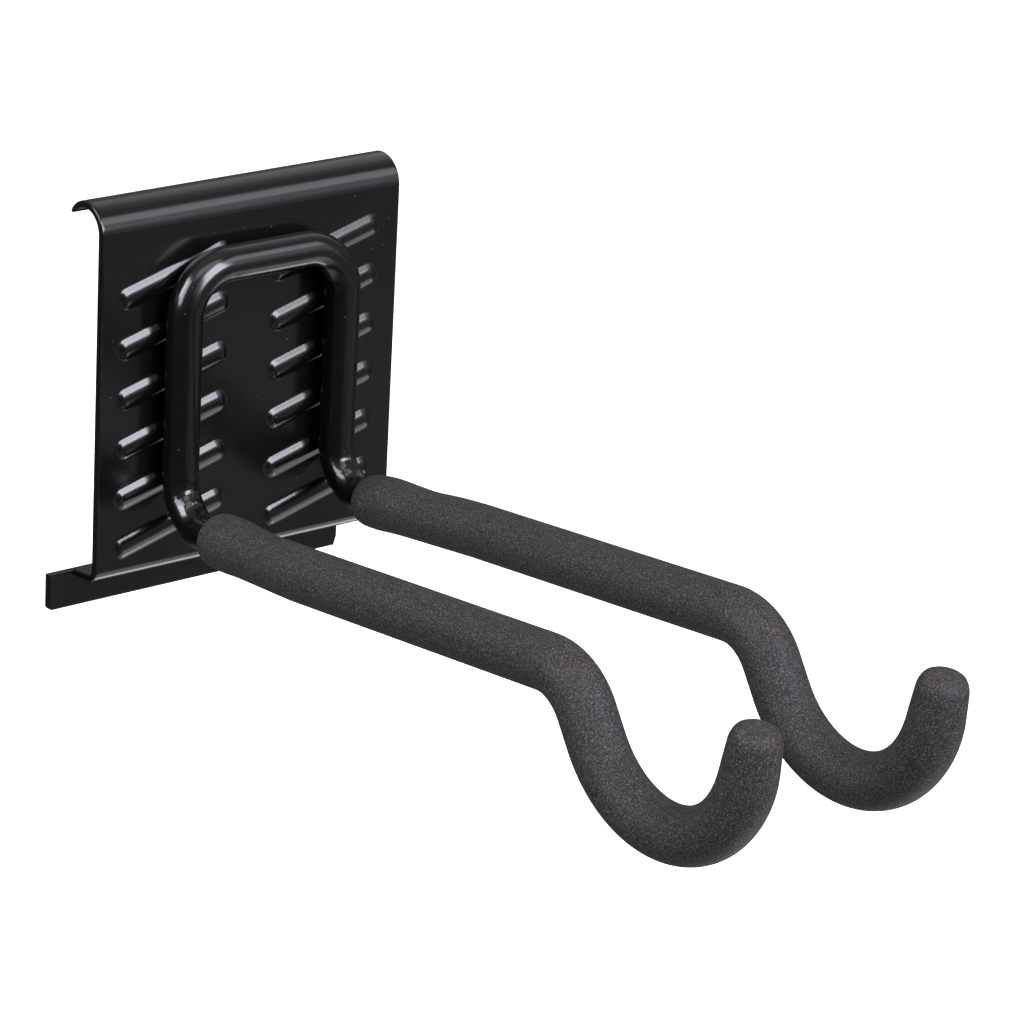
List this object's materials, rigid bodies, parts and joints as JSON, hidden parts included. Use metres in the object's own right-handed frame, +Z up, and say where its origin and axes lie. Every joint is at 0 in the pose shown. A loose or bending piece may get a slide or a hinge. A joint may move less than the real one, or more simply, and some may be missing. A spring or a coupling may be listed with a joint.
{
  "type": "garage utility hook",
  "caption": "Folded steel rail plate with pressed slanted ribs, a flat bar under its lower edge and a bent rod whose padded arms run forward, dip into a cradle and turn up at the tips.",
  "frame": {"origin": "centre of the plate's flat back face", "axes": "+X to the right of someone who faces the wall, -Y away from the wall along the arms, +Z up"},
  "size_m": [0.1074, 0.2663, 0.1164],
  "materials": {
    "black_powder_coat": "semi-gloss black powder coat",
    "charcoal_foam": "matt fine-grained foam rubber"
  },
  "bodies": {
    "root": {"back_plate": "black_powder_coat", "rail_bar": "black_powder_coat", "hook_rod": "black_powder_coat", "left_grip_sleeve": "charcoal_foam", "right_grip_sleeve": "charcoal_foam"}
  },
  "joints": []
}
